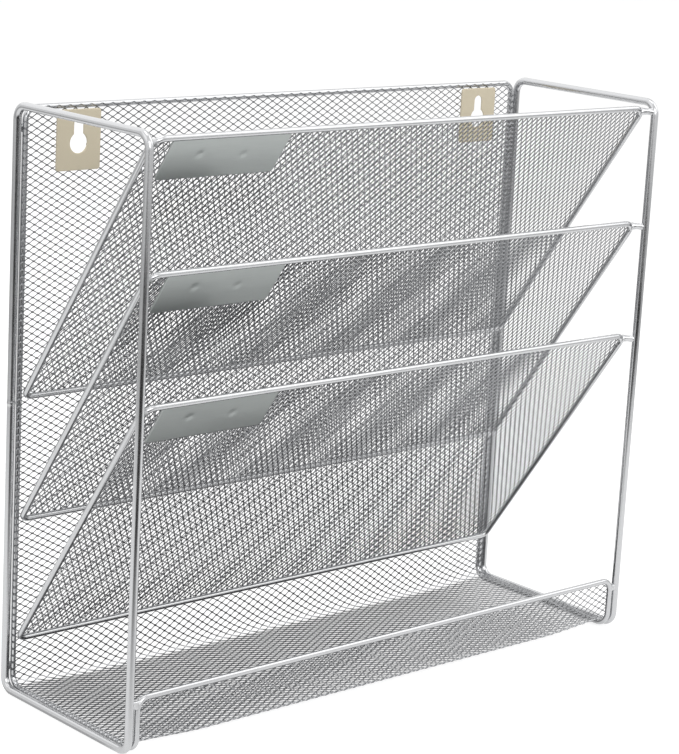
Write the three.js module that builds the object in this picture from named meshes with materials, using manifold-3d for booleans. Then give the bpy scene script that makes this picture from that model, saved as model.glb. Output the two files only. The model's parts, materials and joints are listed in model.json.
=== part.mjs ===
// Mesh file organizer for a desk or a wall. Two side frames of thick wire carry a bent mesh basket, which
// is the tray, the lip and the back in one, and three mesh shelves that slope down to the back. All of it is
// welded. Millimetres, +X to the right, +Y to the wall, +Z up. The origin is on the surface that the
// organizer stands on, under its middle.
import * as THREE from "three";
import { mergeVertices } from "three/addons/utils/BufferGeometryUtils.js";
import Module from "manifold-3d";

const wasm = await Module();
wasm.setup();

// Overall sizes, over the outside of the side frames.
const WIDTH = 333.5;
const DEPTH = 105.2;
const HEIGHT = 290.2;

// Stock: wire thicknesses, the expanded metal sheet and the flat plates.
const SIDE_WIRE = 4;
const RIM_WIRE = 3;
const SHEET = 0.6;
const PLATE = 0.8;

// Bends, as radii of the wire's centreline.
const SIDE_CORNER = 6.5;
const BASKET_BEND = 7;
const BASKET_CORNER = 6;
const SHELF_CORNER = 7;

// The basket: the height of its lip's rail, and how far its back rail lies below the side frames' top runs.
const LIP_HEIGHT = 27.8;
const BACK_RAIL_DROP = 1.5;

// The shelves. A shelf's rail is its front edge, and its foot is the wire at its low back edge. The fall is
// from rail to foot, and the headroom is from the lowest foot down to the side frames' bottom runs.
const SHELF_NAMES = ["top", "middle", "bottom"];
const TOP_RAIL_DROP = 2.9;
const RAIL_SETBACK = 3.8;
const SHELF_FALL = 136.2;
const TRAY_HEADROOM = 25.7;

// Label plates, one under the left end of each rail.
const LABEL_WIDTH = 68.5;
const LABEL_HEIGHT = 24.6;
const LABEL_INSET = 13.3;
const LABEL_CORNER = 2;

// Hanging plates, under the back rail. Each has a keyhole, whose length is from the middle of its round head
// up to the middle of its slot's end. The land is what is left of the plate above it, and the relief is how
// far the hole in the sheet behind it stands back.
const HANGER_WIDTH = 25.2;
const HANGER_HEIGHT = 29.1;
const HANGER_INSET = 15.6;
const HANGER_CORNER = 1.2;
const KEYHOLE_HEAD = 10;
const KEYHOLE_SLOT = 5.6;
const KEYHOLE_LENGTH = 9.2;
const KEYHOLE_LAND = 4;
const KEYHOLE_RELIEF = 1.5;

// Weld beads, as radii: across the gap's plane and along the wires. The lip's beads lie part of the way round
// the corner of the basket's wire.
const SIDE_BEAD_DEPTH = 1.9;
const SIDE_BEAD_LENGTH = 3.5;
const SHELF_BEAD_DEPTH = 2.2;
const SHELF_BEAD_LENGTH = 2.5;
const LIP_BEAD_TURN = Math.PI / 9;

// Gaps: between pieces that lie against each other, and the thinnest web of a bead between two wires.
const CLEARANCE = 0.3;
const BEAD_WEB = 0.3;

// How far a cut runs past the sheet that it goes through.
const OVERRUN = 1;

// The sheet is drawn as a coarse net of diamonds. Its strands are this share of a diamond's height.
const STRAND_SHARE = 0.15;
const SHELF_NET = { columns: 6, rows: 5 };
const BACK_NET = { columns: 6, rows: 8 };
const TRAY_NET = { columns: 6, rows: 3 };
const LIP_NET = { columns: 12, rows: 1 };
const BEND_COLUMNS = 12;
const BEND_WINDOW_SHARE = 0.5;

// Facets: sides of a wire, steps of a quarter bend, and of the rounded corners and beads.
const WIRE_SIDES = 12;
const BEND_STEPS = 4;
const OUTLINE_STEPS = 3;
const BEAD_SLICES = 10;
const BEAD_RINGS = 6;

// Places that follow from the sizes.
const halfSide = SIDE_WIRE / 2;
const halfRim = RIM_WIRE / 2;
const rimReach = halfRim / Math.cos(Math.PI / WIRE_SIDES);
const sideX = WIDTH / 2 - halfSide;
const rimX = sideX - halfSide - BEAD_WEB - 2 * CLEARANCE - halfRim;
const frontY = halfSide - DEPTH / 2;
const backY = DEPTH / 2 - halfSide;
const bottomZ = halfSide;
const topZ = HEIGHT - halfSide;
const backRailZ = topZ - BACK_RAIL_DROP;
const sheetOffset = halfRim + CLEARANCE;
const railY = frontY + RAIL_SETBACK;
const footY = backY - sheetOffset - SHEET - CLEARANCE - rimReach;
const slope = Math.atan2(SHELF_FALL, footY - railY);
const shelfLength = Math.hypot(SHELF_FALL, footY - railY);
const topRailZ = topZ - TOP_RAIL_DROP;
const bottomRailZ = bottomZ + TRAY_HEADROOM + SHELF_FALL;
const railPitch = (topRailZ - bottomRailZ) / (SHELF_NAMES.length - 1);

const SIDES = { left: -1, right: 1 };
const ALONG_X = new THREE.Vector3(1, 0, 0);
const ALONG_Y = new THREE.Vector3(0, 1, 0);
const ALONG_Z = new THREE.Vector3(0, 0, 1);
const QUARTER_TURN = Math.PI / 2;
const EIGHTH_TURN = Math.PI / 4;
const ROUNDING_ERROR = 1e-9;

const wireFinish = { color: 0xc9cbcd, roughness: 0.28, metalness: 0.9 };
const meshFinish = { color: 0xb9bcbe, roughness: 0.38, metalness: 0.85 };
const labelFinish = { color: 0x8f9492, roughness: 0.35, metalness: 0.8 };
const hangerFinish = { color: 0xc4b698, roughness: 0.45, metalness: 0.6 };
const weldFinish = { color: 0xd3d5d6, roughness: 0.3, metalness: 0.9 };

function piece(name, geometry, finish) {
  const mesh = new THREE.Mesh(geometry, new THREE.MeshStandardMaterial(finish));
  mesh.name = name;
  return mesh;
}

// A closed geometry as a solid for cutting, and back.
function toSolid(geometry) {
  const bare = geometry.clone();
  bare.deleteAttribute("normal");
  bare.deleteAttribute("uv");
  const merged = mergeVertices(bare);
  const vertProperties = new Float32Array(merged.attributes.position.array);
  const triVerts = new Uint32Array(merged.index.array);
  return new wasm.Manifold(new wasm.Mesh({ numProp: 3, vertProperties, triVerts }));
}

function fromSolid(solid) {
  const { vertProperties, triVerts } = solid.getMesh();
  return new THREE.BufferGeometry()
    .setAttribute("position", new THREE.BufferAttribute(vertProperties, 3))
    .setIndex(new THREE.BufferAttribute(triVerts, 1));
}

function cutBy(geometry, ...cutters) {
  return fromSolid(cutters.reduce((left, cutter) => left.subtract(toSolid(cutter)), toSolid(geometry)));
}

// A closed path through its corners, each rounded by its own radius.
function roundedLoop(corners) {
  return corners.flatMap(({ at, radius }, i) => {
    const before = corners.at(i - 1).at;
    const after = corners[(i + 1) % corners.length].at;
    const back = before.clone().sub(at).normalize();
    const ahead = after.clone().sub(at).normalize();
    const halfAngle = back.angleTo(ahead) / 2;
    const inward = back.clone().add(ahead).normalize();
    const centre = at.clone().addScaledVector(inward, radius / Math.sin(halfAngle));
    const start = at.clone().addScaledVector(back, radius / Math.tan(halfAngle)).sub(centre);
    const end = at.clone().addScaledVector(ahead, radius / Math.tan(halfAngle)).sub(centre);
    const sweep = Math.PI - 2 * halfAngle;
    return Array.from({ length: BEND_STEPS + 1 }, (_, step) => {
      const turned = (step / BEND_STEPS) * sweep;
      return centre
        .clone()
        .addScaledVector(start, Math.sin(sweep - turned) / Math.sin(sweep))
        .addScaledVector(end, Math.sin(turned) / Math.sin(sweep));
    });
  });
}

// A wire bent along a closed path. Its rings lie on the mitre planes, so each straight run has flat sides,
// and `facing` is the direction that one of those sides faces on the first run. A frame carried round a path
// that isn't flat can come back turned, by a whole number of sides, so the last run joins up that many
// points on.
function wireLoop(path, thickness, facing) {
  const step = (2 * Math.PI) / WIRE_SIDES;
  const reach = thickness / 2 / Math.cos(step / 2);
  const runs = path.map((at, i) => path[(i + 1) % path.length].clone().sub(at).normalize());
  const normal = facing.clone();
  const turn = new THREE.Quaternion();
  const positions = path.flatMap((at, i) => {
    const arriving = runs.at(i - 1);
    if (i > 0) normal.applyQuaternion(turn.setFromUnitVectors(arriving, runs[i]));
    const across = runs[i].clone().cross(normal);
    const mitre = arriving.clone().add(runs[i]);
    return Array.from({ length: WIRE_SIDES }, (_, k) => {
      const angle = (k + 0.5) * step;
      const out = normal.clone().multiplyScalar(reach * Math.cos(angle));
      out.addScaledVector(across, reach * Math.sin(angle));
      const slide = -out.dot(mitre) / runs[i].dot(mitre);
      return out.addScaledVector(runs[i], slide).add(at).toArray();
    });
  });
  normal.applyQuaternion(turn.setFromUnitVectors(runs.at(-1), runs[0]));
  const firstAcross = runs[0].clone().cross(facing);
  const shift = Math.round(Math.atan2(normal.dot(firstAcross), normal.dot(facing)) / step);
  const indices = path.flatMap((_, i) => {
    const next = (i + 1) % path.length;
    const offset = next === 0 ? shift + WIRE_SIDES : 0;
    return Array.from({ length: WIRE_SIDES }, (_, k) => {
      const here = (corner) => i * WIRE_SIDES + (corner % WIRE_SIDES);
      const there = (corner) => next * WIRE_SIDES + ((corner + offset) % WIRE_SIDES);
      return [here(k), here(k + 1), there(k + 1), here(k), there(k + 1), there(k)];
    }).flat();
  });
  return new THREE.BufferGeometry()
    .setAttribute("position", new THREE.Float32BufferAttribute(positions.flat(), 3))
    .setIndex(indices);
}

// A rectangle from y = 0 up, centred on x = 0, with round corners at either end.
function sheetOutline(width, height, lowCorner, highCorner) {
  const half = width / 2;
  const outline = new THREE.Shape();
  outline.moveTo(lowCorner - half, 0);
  outline.lineTo(half - lowCorner, 0);
  if (lowCorner) outline.absarc(half - lowCorner, lowCorner, lowCorner, -QUARTER_TURN, 0);
  outline.lineTo(half, height - highCorner);
  if (highCorner) outline.absarc(half - highCorner, height - highCorner, highCorner, 0, QUARTER_TURN);
  outline.lineTo(highCorner - half, height);
  if (highCorner) outline.absarc(highCorner - half, height - highCorner, highCorner, QUARTER_TURN, Math.PI);
  outline.lineTo(-half, lowCorner);
  if (lowCorner) outline.absarc(lowCorner - half, lowCorner, lowCorner, Math.PI, 3 * QUARTER_TURN);
  return outline;
}

// The part of a polygon where `inside` isn't negative.
function trimmed(points, inside) {
  return points.flatMap((point, i) => {
    const next = points[(i + 1) % points.length];
    const [here, there] = [point, next].map((p) => (Math.abs(inside(p)) < ROUNDING_ERROR ? 0 : inside(p)));
    const kept = here >= 0 ? [point] : [];
    if (here * there < 0) kept.push(point.clone().lerp(next, here / (here - there)));
    return kept;
  });
}

// The four corners of a diamond with half diagonals a and b, drawn in by `inset` on every side.
function diamond(x, y, a, b, inset) {
  const side = Math.hypot(a, b);
  const wide = a - (inset * side) / b;
  const high = b - (inset * side) / a;
  return [
    new THREE.Vector2(x + wide, y),
    new THREE.Vector2(x, y + high),
    new THREE.Vector2(x - wide, y),
    new THREE.Vector2(x, y - high),
  ];
}

// Prisms that pass right through a sheet which lies from z = 0 up.
function throughSheet(shapes) {
  const options = { depth: SHEET + 2 * OVERRUN, bevelEnabled: false, curveSegments: OUTLINE_STEPS };
  return new THREE.ExtrudeGeometry(shapes, options).translate(0, 0, -OVERRUN);
}

// A flat net in the XY plane, as thick as the sheet. Whole diamonds fill its columns and rows, and between
// them lies a second set, half a step over, which the hem cuts in two along the edges. Its corners stay
// filled.
function netGeometry(width, height, { columns, rows }, lowCorner, highCorner) {
  const rise = height / (rows + 2 * STRAND_SHARE);
  const strand = rise * STRAND_SHARE;
  const run = (width - 2 * strand) / columns;
  const [left, low] = [strand - width / 2, strand];
  const [right, high] = [width / 2 - strand, height - strand];
  const gaps = [];
  const addGap = (x, y) => {
    let gap = diamond(x, y, run / 2, rise / 2, strand / 2);
    gap = trimmed(gap, (p) => p.x - left);
    gap = trimmed(gap, (p) => right - p.x);
    gap = trimmed(gap, (p) => p.y - low);
    gap = trimmed(gap, (p) => high - p.y);
    gaps.push(new THREE.Shape(gap));
  };
  for (let column = 0; column <= columns; column++) {
    for (let row = 0; row <= rows; row++) {
      if (column < columns && row < rows) addGap(left + (column + 0.5) * run, low + (row + 0.5) * rise);
      const atCorner = column % columns === 0 && row % rows === 0;
      if (!atCorner) addGap(left + column * run, low + row * rise);
    }
  }
  const outline = sheetOutline(width, height, lowCorner, highCorner);
  const sheet = new THREE.ExtrudeGeometry(outline, {
    depth: SHEET,
    bevelEnabled: false,
    curveSegments: OUTLINE_STEPS,
  });
  return cutBy(sheet, throughSheet(gaps));
}

// The strip of the sheet that turns a quarter round the bend, about a line along X through (y, z), with a
// row of diamond windows. `outward` points from that line to the middle of the strip.
function bendGeometry(y, z, outward) {
  const outer = BASKET_BEND - sheetOffset;
  const inner = outer - SHEET;
  const middle = Math.atan2(outward.z, outward.y);
  const [start, end] = [middle - EIGHTH_TURN, middle + EIGHTH_TURN];
  const section = new THREE.Shape();
  section.absarc(0, 0, outer, start, end);
  section.absarc(0, 0, inner, end, start, true);
  const strip = new THREE.ExtrudeGeometry(section, {
    depth: 2 * rimX,
    bevelEnabled: false,
    curveSegments: BEND_STEPS,
  });
  strip.applyMatrix4(new THREE.Matrix4().makeBasis(ALONG_Y, ALONG_Z, ALONG_X));
  strip.translate(-rimX, y, z);
  const pitch = (2 * rimX) / BEND_COLUMNS;
  const strand = outer * STRAND_SHARE;
  const across = outward.clone().cross(ALONG_X);
  const windows = Array.from({ length: BEND_COLUMNS }, (_, column) => {
    const shape = new THREE.Shape(diamond(0, 0, pitch / 2 - strand, outer * BEND_WINDOW_SHARE, 0));
    const prism = new THREE.ExtrudeGeometry(shape, { depth: 2 * outer, bevelEnabled: false });
    prism.applyMatrix4(new THREE.Matrix4().makeBasis(ALONG_X, across, outward));
    return prism.translate((column + 0.5) * pitch - rimX, y, z);
  });
  return cutBy(strip, ...windows);
}

// A weld bead: an ellipsoid between two wires' centrelines, hollowed where the wires pass through it.
function beadGeometry(from, to, depth, length, wires) {
  const along = to.clone().sub(from);
  const halfSpan = along.length() / 2;
  along.normalize();
  const bead = new THREE.SphereGeometry(1, BEAD_SLICES, BEAD_RINGS);
  bead.rotateX(QUARTER_TURN);
  bead.scale(halfSpan, depth, length);
  bead.applyMatrix4(new THREE.Matrix4().makeBasis(along, ALONG_Z.clone().cross(along), ALONG_Z));
  bead.translate(...from.clone().add(to).divideScalar(2));
  return cutBy(bead, ...wires);
}

const grownBy = 2 * CLEARANCE;
const organizer = new THREE.Group();

// Side frames: an upright loop at each end.
function sideFramePath(side) {
  const corner = (y, z) => ({ at: new THREE.Vector3(side * sideX, y, z), radius: SIDE_CORNER });
  return roundedLoop([
    corner(frontY, bottomZ),
    corner(backY, bottomZ),
    corner(backY, topZ),
    corner(frontY, topZ),
  ]);
}

for (const [name, side] of Object.entries(SIDES)) {
  organizer.add(piece(name + "_side_frame", wireLoop(sideFramePath(side), SIDE_WIRE, ALONG_X), wireFinish));
}

// Basket: one wire round the lip, the tray and the back, with the sheet lying inside it.
function basketPath() {
  const corner = (side, y, z, radius) => ({ at: new THREE.Vector3(side * rimX, y, z), radius });
  const { left, right } = SIDES;
  return roundedLoop([
    corner(left, frontY, LIP_HEIGHT, BASKET_CORNER),
    corner(left, frontY, bottomZ, BASKET_BEND),
    corner(left, backY, bottomZ, BASKET_BEND),
    corner(left, backY, backRailZ, BASKET_CORNER),
    corner(right, backY, backRailZ, BASKET_CORNER),
    corner(right, backY, bottomZ, BASKET_BEND),
    corner(right, frontY, bottomZ, BASKET_BEND),
    corner(right, frontY, LIP_HEIGHT, BASKET_CORNER),
  ]);
}

const basket = new THREE.Group();
organizer.add(basket);
basket.add(piece("basket_rim", wireLoop(basketPath(), RIM_WIRE, ALONG_Y), wireFinish));

const bendTopZ = bottomZ + BASKET_BEND;
const lipSheetHeight = LIP_HEIGHT - bendTopZ - CLEARANCE;
const lip = piece("lip_mesh", netGeometry(2 * rimX, lipSheetHeight, LIP_NET, 0, BASKET_CORNER), meshFinish);
lip.position.set(0, frontY + sheetOffset + SHEET, bendTopZ + CLEARANCE);
lip.rotation.x = QUARTER_TURN;
basket.add(lip);

const trayDepth = backY - frontY - 2 * (BASKET_BEND + CLEARANCE);
const tray = piece("tray_mesh", netGeometry(2 * rimX, trayDepth, TRAY_NET, 0, 0), meshFinish);
tray.position.set(0, frontY + BASKET_BEND + CLEARANCE, bottomZ + sheetOffset);
basket.add(tray);

const frontOutward = new THREE.Vector3(0, -1, -1).normalize();
const frontBend = bendGeometry(frontY + BASKET_BEND, bendTopZ, frontOutward);
basket.add(piece("front_bend_mesh", frontBend, meshFinish));
const rearOutward = new THREE.Vector3(0, 1, -1).normalize();
const rearBend = bendGeometry(backY - BASKET_BEND, bendTopZ, rearOutward);
basket.add(piece("rear_bend_mesh", rearBend, meshFinish));

// The keyhole's outline, up from the plate's low edge. Grown by a relief, it cuts the back sheet behind it.
function keyholePath(Outline, relief) {
  const head = KEYHOLE_HEAD / 2 + relief;
  const slot = KEYHOLE_SLOT / 2 + relief;
  const slotY = HANGER_HEIGHT - KEYHOLE_LAND - KEYHOLE_SLOT / 2;
  const headY = slotY - KEYHOLE_LENGTH;
  const meeting = Math.asin(slot / head);
  const outline = new Outline();
  outline.moveTo(slot, slotY);
  outline.absarc(0, slotY, slot, 0, Math.PI);
  outline.absarc(0, headY, head, QUARTER_TURN + meeting, 5 * QUARTER_TURN - meeting);
  return outline;
}

const backSheetHeight = backRailZ - bendTopZ - CLEARANCE;
const backSheetY = backY - sheetOffset;
const hangerZ = backRailZ - halfRim - HANGER_HEIGHT;
const hangerX = rimX - HANGER_INSET - HANGER_WIDTH / 2;
const hangerCuts = Object.values(SIDES).map((side) => {
  const cut = throughSheet(keyholePath(THREE.Shape, KEYHOLE_RELIEF));
  return cut.translate(side * hangerX, hangerZ - bendTopZ - CLEARANCE, 0);
});
const backNet = netGeometry(2 * rimX, backSheetHeight, BACK_NET, 0, BASKET_CORNER);
const back = piece("back_mesh", cutBy(backNet, ...hangerCuts), meshFinish);
back.position.set(0, backSheetY, bendTopZ + CLEARANCE);
back.rotation.x = QUARTER_TURN;
basket.add(back);

for (const [name, side] of Object.entries(SIDES)) {
  const outline = sheetOutline(HANGER_WIDTH, HANGER_HEIGHT, HANGER_CORNER, HANGER_CORNER);
  outline.holes.push(keyholePath(THREE.Path, 0));
  const options = { depth: PLATE, bevelEnabled: false, curveSegments: 2 * OUTLINE_STEPS };
  const hanger = piece(name + "_hanging_plate", new THREE.ExtrudeGeometry(outline, options), hangerFinish);
  hanger.position.set(side * hangerX, backSheetY - SHEET - CLEARANCE, hangerZ);
  hanger.rotation.x = QUARTER_TURN;
  basket.add(hanger);
}

// Shelves: each is a group at the middle of its rail, with +Y down the slope and +Z up off its upper side.
function shelfRimGeometry(thickness) {
  const corner = (side, y) => ({ at: new THREE.Vector3(side * rimX, y, 0), radius: SHELF_CORNER });
  const { left, right } = SIDES;
  const path = roundedLoop([
    corner(left, 0),
    corner(right, 0),
    corner(right, shelfLength),
    corner(left, shelfLength),
  ]);
  return wireLoop(path, thickness, ALONG_Z);
}

// The shelf's sheet stops where its upper side would meet the back sheet.
const shelfSheetTop = sheetOffset + SHEET;
const backFaceY = backSheetY - SHEET;
const shelfSheetReach = backFaceY - CLEARANCE - railY - shelfSheetTop * Math.sin(slope);
const shelfSheetLength = shelfSheetReach / Math.cos(slope);

SHELF_NAMES.forEach((level, i) => {
  const shelf = new THREE.Group();
  shelf.position.set(0, railY, topRailZ - i * railPitch);
  shelf.rotation.x = -slope;
  shelf.updateMatrixWorld();
  organizer.add(shelf);
  shelf.add(piece(level + "_shelf_rim", shelfRimGeometry(RIM_WIRE), wireFinish));

  const net = netGeometry(2 * rimX, shelfSheetLength, SHELF_NET, SHELF_CORNER, SHELF_CORNER);
  const sheet = piece(level + "_shelf_mesh", net, meshFinish);
  sheet.position.z = sheetOffset;
  shelf.add(sheet);

  const outline = sheetOutline(LABEL_WIDTH, LABEL_HEIGHT, LABEL_CORNER, LABEL_CORNER);
  const options = { depth: PLATE, bevelEnabled: false, curveSegments: OUTLINE_STEPS };
  const label = piece(level + "_label_plate", new THREE.ExtrudeGeometry(outline, options), labelFinish);
  const labelX = LABEL_INSET + LABEL_WIDTH / 2 - rimX;
  label.position.set(labelX, halfRim + CLEARANCE, sheetOffset - CLEARANCE - PLATE);
  shelf.add(label);

  // A bead joins each front corner to the side frame's upright.
  const rimCutter = shelfRimGeometry(RIM_WIRE + grownBy).applyMatrix4(shelf.matrixWorld);
  for (const [name, side] of Object.entries(SIDES)) {
    const cornerX = rimX - SHELF_CORNER * (1 - Math.cos(EIGHTH_TURN));
    const cornerY = SHELF_CORNER * (1 - Math.sin(EIGHTH_TURN));
    const to = new THREE.Vector3(side * cornerX, cornerY, 0).applyMatrix4(shelf.matrixWorld);
    const from = new THREE.Vector3(side * sideX, frontY, to.z);
    const wires = [wireLoop(sideFramePath(side), SIDE_WIRE + grownBy, ALONG_X), rimCutter];
    const bead = beadGeometry(from, to, SHELF_BEAD_DEPTH, SHELF_BEAD_LENGTH, wires);
    organizer.add(piece(level + "_shelf_weld_" + name, bead, weldFinish));
  }
});

// Beads between the basket's wire and the side frames: on the lip's corners and down the back.
const lipBeadX = rimX - BASKET_CORNER * (1 - Math.cos(LIP_BEAD_TURN));
const lipBeadZ = LIP_HEIGHT - BASKET_CORNER * (1 - Math.sin(LIP_BEAD_TURN));
const sideBeads = {
  lip_weld: [lipBeadX, frontY, lipBeadZ],
  back_top_weld: [rimX, backY, backRailZ - BASKET_CORNER - SIDE_BEAD_LENGTH],
  back_bottom_weld: [rimX, backY, bendTopZ + SIDE_BEAD_LENGTH],
};
const basketCutter = wireLoop(basketPath(), RIM_WIRE + grownBy, ALONG_Y);
for (const [bead, [x, y, z]] of Object.entries(sideBeads)) {
  for (const [name, side] of Object.entries(SIDES)) {
    const from = new THREE.Vector3(side * sideX, y, z);
    const to = new THREE.Vector3(side * x, y, z);
    const wires = [wireLoop(sideFramePath(side), SIDE_WIRE + grownBy, ALONG_X), basketCutter];
    const geometry = beadGeometry(from, to, SIDE_BEAD_DEPTH, SIDE_BEAD_LENGTH, wires);
    organizer.add(piece(bead + "_" + name, geometry, weldFinish));
  }
}

export default organizer;
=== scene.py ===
"""Mesh file organizer: its wires, expanded metal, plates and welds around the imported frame.

Metres, +X to the right, +Y to the wall, +Z up. Sizes are written in millimetres times MM.
"""

from __future__ import annotations

import json
import logging
import math
from collections.abc import Callable
from dataclasses import dataclass, field
from enum import Enum

import bmesh
import bpy
import numpy as np
from mathutils import Matrix, Vector
from numpy.typing import NDArray

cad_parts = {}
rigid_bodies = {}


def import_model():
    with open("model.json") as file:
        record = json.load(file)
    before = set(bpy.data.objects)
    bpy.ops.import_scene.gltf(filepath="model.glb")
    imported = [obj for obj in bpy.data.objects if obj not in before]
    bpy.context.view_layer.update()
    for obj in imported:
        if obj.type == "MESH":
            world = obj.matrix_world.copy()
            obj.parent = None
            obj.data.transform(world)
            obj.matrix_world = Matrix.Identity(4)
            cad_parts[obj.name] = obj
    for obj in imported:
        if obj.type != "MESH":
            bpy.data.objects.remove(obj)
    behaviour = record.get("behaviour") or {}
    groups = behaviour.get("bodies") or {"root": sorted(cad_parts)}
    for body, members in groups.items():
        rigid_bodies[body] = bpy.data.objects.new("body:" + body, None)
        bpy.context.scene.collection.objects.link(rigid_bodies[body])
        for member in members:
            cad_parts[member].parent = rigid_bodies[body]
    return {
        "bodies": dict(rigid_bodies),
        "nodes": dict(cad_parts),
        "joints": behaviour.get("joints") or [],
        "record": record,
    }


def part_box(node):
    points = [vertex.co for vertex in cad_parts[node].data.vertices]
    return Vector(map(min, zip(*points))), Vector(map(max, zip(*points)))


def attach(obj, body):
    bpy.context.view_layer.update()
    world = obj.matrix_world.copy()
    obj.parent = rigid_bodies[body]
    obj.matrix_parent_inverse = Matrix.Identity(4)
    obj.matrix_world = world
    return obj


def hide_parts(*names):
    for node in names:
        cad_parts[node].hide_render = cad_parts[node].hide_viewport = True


LOG = logging.getLogger("organizer")
MM = 0.001
BODY = "root"
TOUCHING = 0.001 * MM
TINY = 1e-6
EDGE_STEPS = 2
EDGE_ANGLE = math.radians(40)
WHITE = (1.0, 1.0, 1.0, 1.0)

Points = NDArray[np.float64]
Faces = NDArray[np.int64]
Mask = NDArray[np.bool_]
Colour = tuple[float, float, float]
Place = Callable[[Points, Points, Points], Points]


# Meshes


def unit(vectors: Points) -> Points:
    """The same directions at length 1."""
    return vectors / np.linalg.norm(vectors, axis=-1, keepdims=True)


def eased(share: Points) -> Points:
    """Rises from 0 to 1 as the share does, with level ends: 3 t^2 - 2 t^3."""
    t = np.clip(share, 0, 1)
    return t * t * (3 - 2 * t)


def stepped(place: Points | float, middle: Points | float, width: float) -> Points:
    """An eased step from 0 to 1 as the place passes the middle, over the given width."""
    return eased((place - middle) / width + 0.5)


def mesh_object(name: str, points: Points, faces: Faces, smooth: bool = True) -> bpy.types.Object:
    """Makes an object whose mesh holds the given quads.

    Args:
        name: The piece's name.
        points: Vertex positions, one row each, in metres.
        faces: Four vertex numbers a row, counter-clockwise seen from outside.
        smooth: Whether the faces are shaded smooth.

    Returns:
        The object, linked to the scene, with its place in its mesh.
    """
    mesh = bpy.data.meshes.new(name)
    mesh.vertices.add(len(points))
    mesh.vertices.foreach_set("co", np.ascontiguousarray(points, np.float32).ravel())
    mesh.loops.add(faces.size)
    mesh.loops.foreach_set("vertex_index", np.ascontiguousarray(faces, np.int32).ravel())
    mesh.polygons.add(len(faces))
    mesh.polygons.foreach_set("loop_start", np.arange(0, faces.size, 4, dtype=np.int32))
    mesh.polygons.foreach_set("use_smooth", np.full(len(faces), smooth))
    mesh.update(calc_edges=True)
    mesh.validate()
    piece = bpy.data.objects.new(name, mesh)
    bpy.context.scene.collection.objects.link(piece)
    return piece


def merge_poles(piece: bpy.types.Object) -> None:
    """Merges the vertices of a piece that lie together, which closes its poles.

    Args:
        piece: The piece.
    """
    shape = bmesh.new()
    shape.from_mesh(piece.data)
    bmesh.ops.remove_doubles(shape, verts=shape.verts, dist=TOUCHING)
    shape.to_mesh(piece.data)
    shape.free()


def grid_faces(
    rows: int, columns: int, wrap_rows: bool = False, wrap_columns: bool = False, shift: int = 0
) -> Faces:
    """Quads of a grid whose vertices are numbered along each row.

    Args:
        rows: Number of rows of vertices.
        columns: Number of vertices in a row.
        wrap_rows: Whether the last row joins the first.
        wrap_columns: Whether each row closes on itself.
        shift: How many vertices further on the closing row starts.

    Returns:
        Four vertex numbers a row.
    """
    i = np.arange(rows if wrap_rows else rows - 1)[:, None]
    k = np.arange(columns if wrap_columns else columns - 1)[None, :]
    turned = np.where(i == rows - 1, shift, 0)
    here = i * columns + k
    beside = i * columns + (k + 1) % columns
    above = (i + 1) % rows * columns + (k + turned) % columns
    across = (i + 1) % rows * columns + (k + 1 + turned) % columns
    return np.stack([here, beside, across, above], axis=-1).reshape(-1, 4)


# Wires


def rounded_loop(corners: Points, radii: Points, steps: int) -> Points:
    """A closed path through corners that are rounded.

    At a corner with unit directions b back and a ahead, half the angle between them is g. The arc's centre is
    radius / sin(g) from the corner along b + a, and a point of the arc is the spherical mean of the two radii
    that meet the straight runs.

    Args:
        corners: The corners, one row each.
        radii: The radius at each corner.
        steps: Steps of each arc.

    Returns:
        The path's points, steps + 1 for each corner.
    """
    back = unit(np.roll(corners, 1, axis=0) - corners)
    ahead = unit(np.roll(corners, -1, axis=0) - corners)
    half = np.arccos(np.clip((back * ahead).sum(-1), -1, 1))[:, None] / 2
    reach = radii[:, None]
    centre = corners + unit(back + ahead) * reach / np.sin(half)
    start = corners + back * reach / np.tan(half) - centre
    end = corners + ahead * reach / np.tan(half) - centre
    sweep = (math.pi - 2 * half)[:, :, None]
    turned = np.linspace(0, 1, steps + 1)[None, :, None] * sweep
    arc = start[:, None] * np.sin(sweep - turned) + end[:, None] * np.sin(turned)
    return (centre[:, None] + arc / np.sin(sweep)).reshape(-1, 3)


@dataclass(frozen=True)
class Seam:
    """A butt weld in a wire: a low ring round it, at a share of the way round the loop."""

    share: float
    rise: float = 0.14 * MM
    spread: float = 0.9 * MM
    reach: float = 3.0
    stations: int = 13


def wire_surface(path: Points, radius: float, seam: Seam | None, sides: int = 24) -> tuple[Points, Faces]:
    """A round wire along a closed path.

    A ring's point is p + r (n cos a + b sin a), where n and b are carried along the path by the smallest turn
    from each direction to the next, and the ring is sheared onto the mitre plane between its two runs. At a
    seam, r grows by rise * exp(-(s / spread)^2), with s the distance along the wire.

    Args:
        path: The centreline's points.
        radius: The wire's radius.
        seam: Where the wire's ends are welded together, if that shows.
        sides: Vertices round the wire.

    Returns:
        The surface's points and quads.
    """
    if seam:
        path = with_seam_stations(path, seam)
    ahead = np.roll(path, -1, axis=0) - path
    length = np.linalg.norm(ahead, axis=-1)
    ahead /= length[:, None]
    behind = np.roll(ahead, 1, axis=0)
    normal = carried_normals(ahead)
    angle = np.arange(sides) * 2 * math.pi / sides
    binormal = np.cross(ahead, normal)
    out = normal[:, None] * np.cos(angle)[:, None] + binormal[:, None] * np.sin(angle)[:, None]
    mitre = ahead + behind
    slide = -np.einsum("ikc,ic->ik", out, mitre) / np.einsum("ic,ic->i", ahead, mitre)[:, None]
    out = out + slide[:, :, None] * ahead[:, None]
    grown = np.full(len(path), radius)
    if seam:
        travelled = np.concatenate([[0], np.cumsum(length)[:-1]])
        apart = (travelled - seam.share * length.sum()) / seam.spread
        grown += seam.rise * np.exp(-(apart**2))
    last = turned_onto(ahead[-1], ahead[0], normal[-1])
    turn = math.atan2(last @ np.cross(ahead[0], normal[0]), last @ normal[0])
    shift = -round(turn / (2 * math.pi / sides))
    points = path[:, None] + out * grown[:, None, None]
    return points.reshape(-1, 3), grid_faces(len(path), sides, True, True, shift)


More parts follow.
